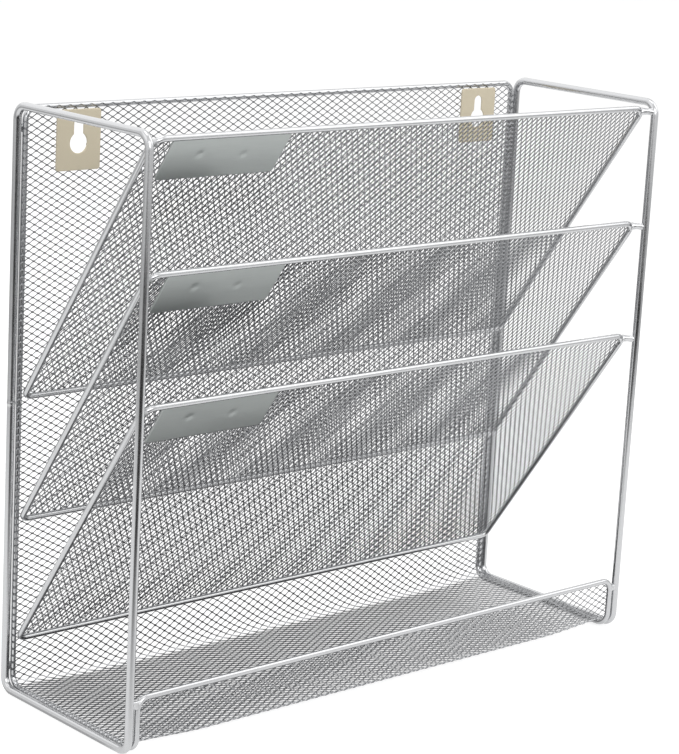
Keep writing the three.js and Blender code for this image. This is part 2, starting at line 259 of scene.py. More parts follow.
def with_seam_stations(path: Points, seam: Seam) -> Points:
    """Adds stations to a closed path, to seam.reach spreads from its seam, so that its ring has a shape.

    Args:
        path: The path's points.
        seam: The seam.

    Returns:
        The path with the stations in their order.
    """
    closed = np.vstack([path, path[:1]])
    travelled = np.concatenate([[0], np.cumsum(np.linalg.norm(np.diff(closed, axis=0), axis=1))])
    extra = seam.share * travelled[-1] + np.linspace(-seam.reach, seam.reach, seam.stations) * seam.spread
    stations = np.union1d(travelled[:-1], extra)
    return np.stack([np.interp(stations, travelled, closed[:, c]) for c in range(3)], axis=1)


def turned_onto(old: Points, new: Points, carried: Points) -> Points:
    """The carried vector, turned by the smallest turn that takes the unit direction old to new."""
    axis, cosine = np.cross(old, new), float(old @ new)
    return carried * cosine + np.cross(axis, carried) + axis * (axis @ carried) / (1 + cosine)


def carried_normals(directions: Points) -> Points:
    """Carries a normal along a path, one for each run.

    Args:
        directions: Unit direction of each run.

    Returns:
        A unit normal for each run.
    """
    start = np.cross(directions[0], np.cross(directions[0] + directions[1], directions[-1]))
    normals = [start / np.linalg.norm(start)]
    for old, new in zip(directions, directions[1:]):
        normals.append(turned_onto(old, new, normals[-1]))
    return np.array(normals)


# Expanded metal


def drawn_in(v: Points, total: float, half: float, corner: float) -> Points:
    """A round-cornered panel's reach at v: half - corner + sqrt(corner^2 - s^2), s deep in a corner."""
    deep = np.clip(corner - np.minimum(v, total - v), 0, corner)
    return half - (corner - np.sqrt(corner**2 - deep**2))


def everywhere(u: Points, v: Points) -> Mask:
    """Keeps the whole panel."""
    return np.ones(np.broadcast(u, v).shape, bool)


@dataclass(frozen=True)
class Expansion:
    """The pattern of the expanded metal: rows of wavy strands that are bonded crest to trough.

    Row j's middle is at v = (j + 1/2) pitch + swing * s(u), where s is a wave of slopes and flats between -1
    and 1 with the period long_way, and every second row is half a period over. Each strand leans, so its
    height is w = -lift * s(u), which brings two strands into one flat bond at each crest.
    """

    long_way: float
    short_way: float
    bond: float = 0.9 * MM
    strand: float = 0.5 * MM
    thickness: float = 0.28 * MM
    lean: float = math.radians(24)
    shortest: float = 0.05 * MM

    @property
    def pitch(self) -> float:
        """Distance from one row of strands to the next."""
        return self.short_way / 2

    def stations(self, reach: float, extra: Points) -> Points:
        """Places along u where a strand turns.

        Args:
            reach: How far the sheet goes to either side of its middle.
            extra: More places that are wanted.

        Returns:
            The places in order, with the two edges.
        """
        half = self.long_way / 2
        count = int(reach / half) + 2
        turns = np.arange(-count, count + 1)[:, None] * half + np.array([-1, 1]) * self.bond / 2
        inside = np.concatenate([turns.ravel(), extra])
        inside = inside[np.abs(inside) < reach - self.shortest]
        return np.unique(np.concatenate([[-reach], inside, [reach]]))

    def wave(self, u: Points, odd: bool) -> Points:
        """The wave s: flat for the length of a bond at its crests and troughs, and straight between.

        Args:
            u: Places along the strand.
            odd: Whether the row is one that lies half a period over.

        Returns:
            The wave's height, -1 to 1.
        """
        half = self.long_way / 2
        phase = np.abs((u + (0 if odd else half)) % self.long_way - half)
        return 1 - 2 * np.clip((phase - self.bond / 2) / (half - self.bond), 0, 1)


@dataclass(frozen=True)
class NetPanel:
    """A panel of expanded metal: its rows, how far they run, and where its points lie in space."""

    pattern: Expansion
    rows: range
    reach: float
    limit: Callable[[Points], Points]
    place: Place
    keep: Callable[[Points, Points], Mask] = everywhere
    extra: tuple[float, ...] = ()

    def surface(self) -> tuple[Points, Faces]:
        """Works out every strand of the panel at once.

        A strand's section is a rectangle that leans: its corners are the middle plus or minus half the strand
        along (cos lean, sin lean) and half the thickness along (-sin lean, cos lean), in (v, w). Runs outside
        the sheet's outline or its cut-outs are left out, and each end that this leaves is closed.

        Returns:
            The points and quads of all strands, with the points that no quad uses left out.
        """
        even, odd = (self._strands(parity) for parity in (0, 1))
        points = np.vstack([even[0], odd[0]])
        used, faces = np.unique(np.vstack([even[1], odd[1] + len(even[0])]), return_inverse=True)
        return points[used], faces.reshape(-1, 4)

    def _strands(self, parity: int) -> tuple[Points, Faces]:
        """The strands of every second row.

        Args:
            parity: 0 for the even rows, 1 for the odd ones.

        Returns:
            Their points and quads.
        """
        p = self.pattern
        rows = np.array([j for j in self.rows if j % 2 == parity])
        middle = (rows + 0.5) * p.pitch
        stations = p.stations(self.reach, np.array(self.extra))
        limit = self.limit(middle)[:, None]
        u = np.clip(stations[None, :], -limit, limit)
        s = p.wave(u, bool(parity))
        across = p.strand / 2 * np.array([math.cos(p.lean), math.sin(p.lean)])
        through = p.thickness / 2 * np.array([-math.sin(p.lean), math.cos(p.lean)])
        v = middle[:, None] + (p.pitch / 2 - across[0]) * s
        w = -across[1] * s
        corner = np.array([across + through, -across + through, -across - through, across - through])
        net = self.place(
            np.repeat(u[:, :, None], 4, axis=2),
            v[:, :, None] + corner[:, 0],
            w[:, :, None] + corner[:, 1],
        )
        run = np.diff(u, axis=1) > TOUCHING
        run &= self.keep((u[:, 1:] + u[:, :-1]) / 2, (v[:, 1:] + v[:, :-1]) / 2)
        return net.reshape(-1, 3), self._faces(run, stations.size)

    @staticmethod
    def _faces(run: Mask, stations: int) -> Faces:
        """The four sides of each run that is kept, and a quad over each end.

        Args:
            run: For each row, which runs between stations are kept.
            stations: Number of stations in a row.

        Returns:
            Four vertex numbers a row.
        """
        row, left = np.nonzero(run)
        ring = ((row * stations + left) * 4)[:, None]
        k = np.arange(4)
        near, nearer = ring + k, ring + (k + 1) % 4
        sides = np.stack([near, nearer, nearer + 4, near + 4], axis=-1).reshape(-1, 4)
        before = np.pad(run, ((0, 0), (1, 0)))[:, :-1]
        after = np.pad(run, ((0, 0), (0, 1)))[:, 1:]
        row, left = np.nonzero(run & ~before)
        starts = ((row * stations + left) * 4)[:, None] + k[::-1]
        row, left = np.nonzero(run & ~after)
        ends = ((row * stations + left + 1) * 4)[:, None] + k
        return np.vstack([sides, starts, ends])


# Finishes


def node_of(tree: bpy.types.NodeTree, kind: str, *inputs: object, **values: object) -> bpy.types.Node:
    """Adds a node, sets its properties, and sets or links its inputs.

    Args:
        tree: The node tree.
        kind: The node's type name.
        inputs: Its first inputs in their order, each a value or another node's output.
        values: Properties by their names, and inputs by theirs with underscores for spaces.

    Returns:
        The node.
    """
    node = tree.nodes.new(kind)
    for key, value in [*values.items(), *enumerate(inputs)]:
        if isinstance(key, str) and hasattr(node, key):
            setattr(node, key, value)
            continue
        socket = node.inputs[key.replace("_", " ") if isinstance(key, str) else key]
        if isinstance(value, bpy.types.NodeSocket):
            tree.links.new(value, socket)
        else:
            socket.default_value = value
    return node


def cleared_tree(owner: bpy.types.Material | bpy.types.World) -> bpy.types.NodeTree:
    """Gives a material or a world an empty node tree.

    Args:
        owner: The material or world.

    Returns:
        Its tree.
    """
    owner.use_nodes = True
    owner.node_tree.nodes.clear()
    return owner.node_tree


class CoatTexture:
    """A node group that all the finishes use: how a sprayed or rolled metal coat varies."""

    NAME = "coat_texture"
    INPUTS = {"Fleck Scale": 1800.0, "Patch Scale": 26.0, "Peel Scale": 420.0, "Peel": 0.1}
    OUTPUTS = {"Tone": "NodeSocketFloat", "Rough": "NodeSocketFloat", "Normal": "NodeSocketVector"}
    NOISES = {
        "Fleck Scale": {"Detail": 2.0, "Roughness": 0.7},
        "Patch Scale": {"Detail": 4.0, "Roughness": 0.55, "Distortion": 0.3},
        "Peel Scale": {"Detail": 3.0, "Roughness": 0.5},
    }
    FLECK_SHARE = 0.45
    PATCH_SPAN = (0.3, 0.7)
    PEEL_DEPTH = 0.05 * MM

    @classmethod
    def group(cls) -> bpy.types.NodeTree:
        """The group, built once.

        It puts out Tone, 0 to 1 from fine flecks and slow patches, Rough, 0 to 1 from the patches, and
        Normal, a bump of the coat's peel.

        Returns:
            The node group.
        """
        found = bpy.data.node_groups.get(cls.NAME)
        if found:
            return found
        tree = bpy.data.node_groups.new(cls.NAME, "ShaderNodeTree")
        for name, value in cls.INPUTS.items():
            socket = tree.interface.new_socket(name, in_out="INPUT", socket_type="NodeSocketFloat")
            socket.default_value = value
        tree.interface.new_socket("Vector", in_out="INPUT", socket_type="NodeSocketVector")
        for name, kind in cls.OUTPUTS.items():
            tree.interface.new_socket(name, in_out="OUTPUT", socket_type=kind)
        given = tree.nodes.new("NodeGroupInput").outputs
        place = given["Vector"]
        fleck, patch, peel = [
            node_of(tree, "ShaderNodeTexNoise", Vector=place, Scale=given[name], **look).outputs["Fac"]
            for name, look in cls.NOISES.items()
        ]
        low, high = cls.PATCH_SPAN
        tone = node_of(tree, "ShaderNodeMix", data_type="FLOAT", Factor=cls.FLECK_SHARE, A=patch, B=fleck)
        rough = node_of(tree, "ShaderNodeMapRange", Value=patch, From_Min=low, From_Max=high)
        bump = node_of(tree, "ShaderNodeBump", Distance=cls.PEEL_DEPTH, Strength=given["Peel"], Height=peel)
        made = (tone.outputs["Result"], rough.outputs["Result"], bump.outputs["Normal"])
        node_of(tree, "NodeGroupOutput", *made)
        return tree


@dataclass(frozen=True)
class Finish:
    """A metal finish: its colour from dark to light, how rough it is, and the coat's texture."""

    name: str
    dark: Colour
    light: Colour
    rough: tuple[float, float]
    metallic: float
    patch_scale: float = CoatTexture.INPUTS["Patch Scale"]
    peel: float = CoatTexture.INPUTS["Peel"]
    stretch: tuple[float, float, float] = (1.0, 1.0, 1.0)
    anisotropic: float = 0.0

    def material(self) -> bpy.types.Material:
        """The finish as a material, built once.

        Returns:
            The material.
        """
        found = bpy.data.materials.get(self.name)
        if found:
            return found
        material = bpy.data.materials.new(self.name)
        tree = cleared_tree(material)
        place = node_of(tree, "ShaderNodeTexCoord").outputs["Object"]
        spread = node_of(tree, "ShaderNodeMapping", Vector=place, Scale=self.stretch).outputs["Vector"]
        group = CoatTexture.group()
        texture = {"Vector": spread, "Patch_Scale": self.patch_scale, "Peel": self.peel}
        coat = node_of(tree, "ShaderNodeGroup", node_tree=group, **texture).outputs
        dark, light = (*self.dark, 1), (*self.light, 1)
        tone = node_of(tree, "ShaderNodeMix", data_type="RGBA", Factor=coat["Tone"], A=dark, B=light)
        low, high = self.rough
        rough = node_of(tree, "ShaderNodeMapRange", Value=coat["Rough"], To_Min=low, To_Max=high)
        shader = node_of(
            tree,
            "ShaderNodeBsdfPrincipled",
            Base_Color=tone.outputs["Result"],
            Metallic=self.metallic,
            Roughness=rough.outputs["Result"],
            Anisotropic=self.anisotropic,
            Normal=coat["Normal"],
        )
        node_of(tree, "ShaderNodeOutputMaterial", shader.outputs["BSDF"])
        return material


BRUSHED = (0.05, 1.0, 1.0)
SILVER_WIRE = Finish(
    "silver_wire", (0.49, 0.495, 0.505), (0.61, 0.615, 0.625), (0.15, 0.23), 0.98, peel=0.15
)
# Darker than the wire's silver: partly thinner paint on the strands, partly painted shade of their dark
# surroundings.
SILVER_NET = Finish(
    "silver_net", (0.27, 0.275, 0.285), (0.38, 0.385, 0.395), (0.16, 0.24), 0.95, patch_scale=60.0
)
SILVER_WELD = Finish(
    "silver_weld", (0.54, 0.545, 0.555), (0.68, 0.685, 0.695), (0.24, 0.32), 0.9, peel=0.3
)
LABEL_STEEL = Finish(
    "label_steel",
    (0.36, 0.385, 0.375),
    (0.48, 0.505, 0.495),
    (0.24, 0.36),
    0.9,
    stretch=BRUSHED,
    anisotropic=0.3,
)
# Warm tan: partly plated steel, partly a painted reflection of a manila file in front of the hanger plates.
HANGER_PLATE = Finish("hanger_plate", (0.72, 0.64, 0.48), (0.8, 0.72, 0.55), (0.38, 0.5), 0.25, peel=0.05)


# The organizer's pieces


def add_piece(
    name: str, surface: tuple[Points, Faces], finish: Finish, slot: str, *nodes: str, smooth: bool = True
) -> bpy.types.Object:
    """Makes a piece, dresses it and lets it stand for its nodes of the frame.

    Args:
        name: The piece's name.
        surface: Its points and quads.
        finish: Its finish.
        slot: The record's material slot; not used.
        nodes: The frame's nodes that it stands for.
        smooth: Whether it is shaded smooth.

    Returns:
        The piece.
    """
    piece = mesh_object(name, *surface, smooth)
    piece.data.materials.append(finish.material())
    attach(piece, BODY)
    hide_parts(*nodes)
    LOG.info("%s: %d faces", name, len(piece.data.polygons))
    return piece


def thicken(piece: bpy.types.Object, thickness: float, bevel: float) -> None:
    """Gives a sheet its thickness and its edges a small round.

    Args:
        piece: The sheet.
        thickness: Its thickness, half to each side.
        bevel: The edge's radius.
    """
    wall = piece.modifiers.new("wall", "SOLIDIFY")
    wall.thickness = thickness
    wall.offset = 0
    edge = piece.modifiers.new("edge", "BEVEL")
    edge.width = bevel
    edge.segments = EDGE_STEPS
    edge.limit_method = "ANGLE"
    edge.angle_limit = EDGE_ANGLE


class Side(Enum):
    """The two ends of the organizer."""

    LEFT = -1
    RIGHT = 1

    @property
    def word(self) -> str:
        """The side's name in lower case."""
        return self.name.lower()


@dataclass
class SideFrame:
    """An upright loop of thick wire at one end."""

    side: Side
    corner: float = 6.5 * MM
    bend_steps: int = 12
    seam: Seam = Seam(share=0.322)

    def __post_init__(self) -> None:
        """Takes the wire's thickness and place from the frame."""
        self.node = self.side.word + "_side_frame"
        low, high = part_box(self.node)
        self.radius = (high.x - low.x) / 2
        self.x = (low.x + high.x) / 2
        self.front, self.back = low.y + self.radius, high.y - self.radius
        self.bottom, self.top = low.z + self.radius, high.z - self.radius

    def build(self) -> None:
        """Makes the frame's wire, with its butt weld on the upright at the back."""
        y = [self.front, self.back, self.back, self.front]
        z = [self.bottom, self.bottom, self.top, self.top]
        corners = np.stack([np.full(len(y), self.x), y, z], axis=1)
        path = rounded_loop(corners, np.full(len(y), self.corner), self.bend_steps)
        surface = wire_surface(path, self.radius, self.seam)
        add_piece(self.side.word + "_frame_wire", surface, SILVER_WIRE, "wire", self.node)


@dataclass
class Basket:
    """The wire and the bent sheet that are the lip, the tray and the back in one.

    The sheet lies on the wire's inner side. Along the tray and up the back its edges turn out round the wire,
    and between the sides the tray sags.
    """

    bend: float = 7.0 * MM
    corner: float = 6.0 * MM
    bend_steps: int = 10
    lap: float = 0.3 * MM
    hem: float = 1.9 * MM
    hem_step: float = 0.6 * MM
    top_edge: float = 0.9 * MM
    sag: float = 2.0 * MM
    sag_reach: float = 45.0 * MM
    sag_rise: float = 15.0 * MM
    sag_step: float = 3.0 * MM
    keyhole_relief: float = 1.5 * MM
    seam: Seam = Seam(share=0.432)
    pattern: Expansion = Expansion(long_way=6.2 * MM, short_way=3.5 * MM)

    def __post_init__(self) -> None:
        """Takes the wire's thickness and centreline from the frame."""
        low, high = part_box("basket_rim")
        lip_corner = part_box("lip_mesh")[1]
        self.half, self.lip_top = lip_corner.x, lip_corner.z
        self.radius = high.x - self.half
        self.front, self.back = low.y + self.radius, high.y - self.radius
        self.floor, self.top = low.z + self.radius, high.z - self.radius
        self.offset = self.radius + self.lap
        lip, back = (height - self.floor - self.bend for height in (self.lip_top, self.top))
        arc = (self.bend - self.offset) * math.pi / 2
        runs = [lip, arc, self.back - self.front - 2 * self.bend, arc, back]
        self.lip_end, self.front_end, self.floor_end, self.rear_end, self.back_end = np.cumsum(runs)
        self.total = self.back_end + self.top_edge

    def rim_path(self) -> Points:
        """The wire's centreline, round the lip, down, along the tray, up the back and round again.

        Returns:
            Its points.
        """
        x, y0, y1, z0 = self.half, self.front, self.back, self.floor
        left = [(-x, y0, self.lip_top), (-x, y0, z0), (-x, y1, z0), (-x, y1, self.top)]
        right = [(-p[0], p[1], p[2]) for p in reversed(left)]
        radii = np.array([self.corner, self.bend, self.bend, self.corner] * 2)
        return rounded_loop(np.array(left + right), radii, self.bend_steps)

    def drop(self, u: Points, v: Points) -> Points:
        """The sheet's sag: an eased rise over sag_reach from each side, faded out up the lip and the back."""
        fade = eased(v / self.lip_end) * (1 - eased((v - self.rear_end) / self.sag_rise))
        return self.sag * fade * eased((self.half - np.abs(u)) / self.sag_reach)

    def place(self, u: Points, v: Points, w: Points) -> Points:
        """Bends the flat sheet: v runs down the lip, along the floor and up the back, and w points inwards.

        A bend's point is c + (bend - d) (cos a, sin a) in (y, z), where a grows with v and d is the distance
        inwards from the plane of the wire. Past the wire, at a turn of t round it, d = (offset + w) cos t,
        and the point is (offset + w) sin t further out than the wire.

        Args:
            u: Across the sheet, from the middle.
            v: Along the sheet, from the lip's edge.
            w: Off the sheet's middle.

        Returns:
            Points in the frame.
        """
        turn = np.maximum(np.abs(u) - self.half, 0) / self.offset
        x = np.sign(u) * (np.minimum(np.abs(u), self.half) + np.sin(turn) * (self.offset + w))
        inwards = np.cos(turn) * (self.offset + w)
        y_low, y_high = self.front + self.bend, self.back - self.bend
        z_low = self.floor + self.bend
        swing, radius = self.bend - inwards, self.bend - self.offset
        bends = ((math.pi, self.lip_end, self.front_end), (1.5 * math.pi, self.floor_end, self.rear_end))
        front, rear = (first + np.clip(v - start, 0, end - start) / radius for first, start, end in bends)
        parts = [v < end for end in (self.lip_end, self.front_end, self.floor_end, self.rear_end)]
        front_y, rear_y = y_low + swing * np.cos(front), y_high + swing * np.cos(rear)
        front_z, rear_z = z_low + swing * np.sin(front), z_low + swing * np.sin(rear)
        y = [self.front + inwards, front_y, y_low + v - self.front_end, rear_y]
        y = np.select(parts, y, self.back - inwards)
        z = [self.lip_top - v, front_z, self.floor + inwards, rear_z]
        z = np.select(parts, z, z_low + v - self.rear_end)
        return np.stack([x, y, z - self.drop(u, v)], axis=-1)

    def limit(self, v: Points) -> Points:
        """How far the sheet reaches at v: to the wire, and round it along the tray and the back."""
        hemmed = (v > self.front_end) & (v < self.back_end - self.corner)
        return np.where(hemmed, self.half + self.hem, drawn_in(v, self.back_end, self.half, self.corner))

    def keep(self, u: Points, v: Points) -> Mask:
        """Which places of the sheet aren't in the cut-out behind a keyhole."""
        z = self.floor + self.bend + v - self.rear_end
        return ~np.any([HangingPlate(side).covers(u, z, self.keyhole_relief) for side in Side], axis=0)

    def build(self) -> None:
        """Makes the rim, and the sheet in three parts: the tray with the lip, and the back's two halves."""
        surface = wire_surface(self.rim_path(), self.radius, self.seam)
        add_piece("basket_rim_wire", surface, SILVER_WIRE, "wire", "basket_rim")
        pitch = self.pattern.pitch
        tray, count = int(self.rear_end / pitch), int(self.total / pitch)
        middle = (tray + count) // 2
        parts = {
            "tray_sheet": (range(tray), ("lip_mesh", "front_bend_mesh", "tray_mesh", "rear_bend_mesh")),
            "back_sheet_low": (range(tray, middle), ("back_mesh",)),
            "back_sheet_high": (range(middle, count), ("back_mesh",)),
        }
        hem = np.arange(self.half, self.half + self.hem, self.hem_step)
        bow = np.arange(self.half - self.sag_reach, self.half, self.sag_step)
        extra = tuple(np.concatenate([-hem, hem, -bow, bow]))
        reach = self.half + self.hem
        for name, (rows, nodes) in parts.items():
            panel = NetPanel(self.pattern, rows, reach, self.limit, self.place, self.keep, extra)
            add_piece(name, panel.surface(), SILVER_NET, "mesh", *nodes, smooth=False)


@dataclass
class Shelf:
    """A sloping shelf: its wire loop, its sheet of expanded metal and its label plate.

    The sheet is cut a quarter turn over from the basket's, so its strands run down the slope.
    """

    level: str
    corner: float = 7.0 * MM
    foot_corner: float = 4.0 * MM
    bend_steps: int = 10
    lap: float = 0.3 * MM
    seam: Seam | None = None
    pattern: Expansion = Expansion(long_way=5.85 * MM, short_way=3.47 * MM, lean=math.radians(30))

    def __post_init__(self) -> None:
        """Takes the wire, the rail, the foot and the slope from the frame."""
        low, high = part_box(self.level + "_shelf_rim")
        self.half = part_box(self.level + "_shelf_mesh")[1].x
        self.radius = high.x - self.half
        self.rail = np.array([0.0, low.y + self.radius, high.z - self.radius])
        foot = np.array([0.0, high.y - self.radius, low.z + self.radius])
        self.length = float(np.linalg.norm(foot - self.rail))
        self.down = (foot - self.rail) / self.length
        self.normal = np.cross([1.0, 0.0, 0.0], self.down)

    def place(self, u: Points, v: Points, w: Points) -> Points:
        """A point of the shelf: rail + u across + v down the slope + w off the wire's plane, upwards."""
        across = np.array([1.0, 0.0, 0.0])
        return self.rail + u[..., None] * across + v[..., None] * self.down + w[..., None] * self.normal

    def place_sheet(self, u: Points, v: Points, w: Points) -> Points:
        """A point of the sheet on the wire's upper side, whose strands run down the slope, along u."""
        return self.place(self.half - v, u + self.length / 2, w + self.radius + self.lap)

    def limit(self, v: Points) -> Points:
        """How far the strands run at v, drawn in at the round corners."""
        return drawn_in(v, 2 * self.half, self.length / 2, self.corner)

    def build(self) -> None:
        """Makes the shelf's wire, sheet and label plate."""
        x, end = self.half, self.length
        flat = np.array([(-x, 0), (x, 0), (x, end), (-x, end)])
        corners = self.place(flat[:, 0], flat[:, 1], np.zeros(len(flat)))
        radii = np.array([self.corner, self.corner, self.foot_corner, self.foot_corner])
        path = rounded_loop(corners, radii, self.bend_steps)
        surface = wire_surface(path, self.radius, self.seam)
        add_piece(self.level + "_shelf_wire", surface, SILVER_WIRE, "wire", self.level + "_shelf_rim")
        rows = range(int(2 * self.half / self.pattern.pitch))
        panel = NetPanel(self.pattern, rows, self.length / 2, self.limit, self.place_sheet)
        name = self.level + "_shelf_sheet"
        add_piece(name, panel.surface(), SILVER_NET, "mesh", self.level + "_shelf_mesh", smooth=False)
        LabelPlate(self).build()


@dataclass
class LabelPlate:
    """A thin steel plate under the left end of a shelf's rail, with the dents of its two spot welds."""

    shelf: Shelf
    thickness: float = 0.8 * MM
    corner: float = 2.0 * MM
    start: float = 1.8 * MM
    under: float = 1.1 * MM
    height: float = 24.6 * MM
    columns: int = 97
    rows: int = 41
    dents: tuple[tuple[float, float], ...] = ((0.28, 0.4), (0.66, 0.48))
    dent_depth: float = 0.16 * MM
    dent_width: float = 1.9 * MM
    bevel: float = 0.15 * MM

    def build(self) -> None:
        """Makes the plate: a grid in its own plane, dented at its welds, then thickened and bevelled.

        A dent at (p, q) adds dent_depth * exp(-((u - p)^2 + (v - q)^2) / dent_width^2) to the plate's height.
        """
        node = self.shelf.level + "_label_plate"
        low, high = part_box(node)
        middle, width = (low.x + high.x) / 2, high.x - low.x
        across = np.linspace(-1, 1, self.columns)[:, None]
        v = np.linspace(0, self.height, self.rows)[None, :]
        u = across * drawn_in(v, self.height, width / 2, self.corner)
        w = np.full(u.shape, self.under)
        for share_u, share_v in self.dents:
            apart = (u - (share_u - 0.5) * width) ** 2 + (v - share_v * self.height) ** 2
            w += self.dent_depth * np.exp(-apart / self.dent_width**2)
        points = self.shelf.place(u + middle, v + self.start, w).reshape(-1, 3)
        surface = (points, grid_faces(self.columns, self.rows))
        piece = add_piece(self.shelf.level + "_label", surface, LABEL_STEEL, "label_plate", node)
        thicken(piece, self.thickness, self.bevel)


@dataclass
class HangingPlate:
    """A plate with a keyhole, at the top of the back sheet."""

    side: Side
    corner: float = 1.4 * MM
    head: float = 10.0 * MM
    slot: float = 5.6 * MM
    length: float = 9.2 * MM
    land: float = 4.0 * MM
    spokes: int = 192
    rings: int = 13
    bevel: float = 0.12 * MM

    def __post_init__(self) -> None:
        """Takes the plate's outline and thickness from the frame."""
        self.node = self.side.word + "_hanging_plate"
        low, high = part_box(self.node)
        self.x, self.y = (low.x + high.x) / 2, (low.y + high.y) / 2
        self.bottom, self.top = low.z, high.z
        self.half = (high.x - low.x) / 2
        self.thickness = high.y - low.y
        self.head_z = self.top - self.land - self.slot / 2 - self.length

    def keyhole_reach(self, angle: Points, relief: float) -> Points:
        """Distance from the middle of the keyhole's head to its edge, at an angle from straight up.

        Within the slot's own angle it is where the ray meets the slot's side or its round end, and elsewhere
        the head's radius.

        Args:
            angle: Angles from straight up.
            relief: How far the outline is grown.

        Returns:
            The distances.
        """
        head, slot = self.head / 2 + relief, self.slot / 2 + relief
        sine, cosine = np.abs(np.sin(angle)), np.cos(angle)
        side = slot / np.maximum(sine, TINY)
        inside = np.maximum(slot**2 - (self.length * sine) ** 2, 0)
        end = self.length * cosine + np.sqrt(inside)
        to_end = math.atan2(slot, self.length)
        reach = np.where(sine < math.sin(to_end), end, side)
        return np.where((cosine > 0) & (sine < slot / head), np.maximum(reach, head), head)

    def covers(self, x: Points, z: Points, relief: float) -> Mask:
        """Whether places of the back lie in the keyhole, grown by the relief."""
        dx, dz = x - self.x, z - self.head_z
        return np.hypot(dx, dz) < self.keyhole_reach(np.arctan2(dx, dz), relief)

    def outline_reach(self, angle: Points) -> Points:
        """Distance from the middle of the keyhole's head to the plate's edge, at an angle from straight up.

        It is where the ray along d meets a straight edge, or, in a corner with its arc's centre at c, the
        farther root of |t d - c| = corner.

        Args:
            angle: Angles from straight up.

        Returns:
            The distances.
        """
        high = np.where(np.cos(angle) > 0, self.top - self.head_z, self.head_z - self.bottom)
        sine, cosine = np.abs(np.sin(angle)), np.abs(np.cos(angle))
        edge = np.minimum(self.half / np.maximum(sine, TINY), high / np.maximum(cosine, TINY))
        centre_x, centre_z = self.half - self.corner, high - self.corner
        along = sine * centre_x + cosine * centre_z
        inside = along**2 - centre_x**2 - centre_z**2 + self.corner**2
        in_corner = (edge * sine > centre_x) & (edge * cosine > centre_z)
        return np.where(in_corner, along + np.sqrt(np.maximum(inside, 0)), edge)

    def build(self) -> None:
        """Makes the plate: rings between the keyhole's outline and the plate's, thickened and bevelled."""
        angle = np.linspace(0, 2 * math.pi, self.spokes, endpoint=False)
        share = np.linspace(0, 1, self.rings)[:, None]
        reach = (1 - share) * self.keyhole_reach(angle, 0) + share * self.outline_reach(angle)
        x = self.x + reach * np.sin(angle)
        z = self.head_z + reach * np.cos(angle)
        points = np.stack([x, np.full(x.shape, self.y), z], axis=-1).reshape(-1, 3)
        surface = (points, grid_faces(self.rings, self.spokes, wrap_columns=True))
        piece = add_piece(self.side.word + "_hanger", surface, HANGER_PLATE, "hanging_plate", self.node)
        thicken(piece, self.thickness, self.bevel)


class Bead(Enum):
    """The kinds of weld bead: each one's depth between the wires, its depth at them, and its height."""

    LIP = (1.35 * MM, 1.95 * MM, 3.0 * MM)
    BACK = (0.9 * MM, 1.25 * MM, 2.8 * MM)
    SHELF = (1.4 * MM, 1.9 * MM, 2.3 * MM)


@dataclass
class WeldBead:
    """A bead that bridges two wires: waisted between them, closed inside them, and lumpy as a cooled weld is.

    Its end lies on a wire that turns away above corner_start, by the radius corner, and the bead follows it.
    Each of its waves is a size, and the multiples p of the angle, q of the way along and r of the seed.
    """

    kind: Bead
    name: str
    node: str
    start: Points
    end: Points
    seed: int
    corner: float = 0.0
    corner_start: float = 0.0
    slices: int = 33
    spokes: int = 32
    waves: tuple[tuple[float, int, int, int], ...] = ((0.05, 3, 2, 1), (0.04, 5, -3, 2))
    closing_length: float = 0.3
    waist_rise: float = 0.72

    def build(self) -> None:
        """Makes the bead.

        Its middle runs from wire to wire with t from -1 to 1. Round it, at angle a, a point is off by
        depth(t) cos(a) level and rise(t) sin(a) upright. Both grow from the waist with t^2, are multiplied
        by 1 plus the sum of the waves, size * sin(p a + q t + r seed), and shrink to a pole along a quarter
        of an ellipse in the last part of t. A point at height z moves inwards with the share of its way to
        the end, by corner - sqrt(corner^2 - d^2), with d its height above the start of the corner.
        """
        waist, flare, height = self.kind.value
        t = np.linspace(-1, 1, self.slices)[:, None]
        a = np.linspace(0, 2 * math.pi, self.spokes, endpoint=False)[None, :]
        up = np.array([0.0, 0.0, 1.0])
        level = np.cross(up, unit(self.end - self.start))
        closed = np.clip((np.abs(t) - 1 + self.closing_length) / self.closing_length, 0, 1)
        ripples = [size * np.sin(p * a + q * t + r * self.seed) for size, p, q, r in self.waves]
        girth = np.sqrt(1 - closed**2) * (1 + np.sum(ripples, axis=0))
        depth = (waist + (flare - waist) * t**2) * girth
        rise = height * (self.waist_rise + (1 - self.waist_rise) * t**2) * girth
        middle = (self.start + self.end) / 2 + t[..., None] * (self.end - self.start) / 2
        points = middle + (depth * np.cos(a))[..., None] * level + (rise * np.sin(a))[..., None] * up
        above = np.clip(points[..., 2] - self.corner_start, 0, self.corner)
        inwards = self.corner - np.sqrt(self.corner**2 - above**2)
        points[..., 0] -= np.sign(self.end[0]) * inwards * (1 + t) / 2
        surface = (points.reshape(-1, 3), grid_faces(self.slices, self.spokes, wrap_columns=True))
        merge_poles(add_piece(self.name, surface, SILVER_WELD, "weld", self.node))


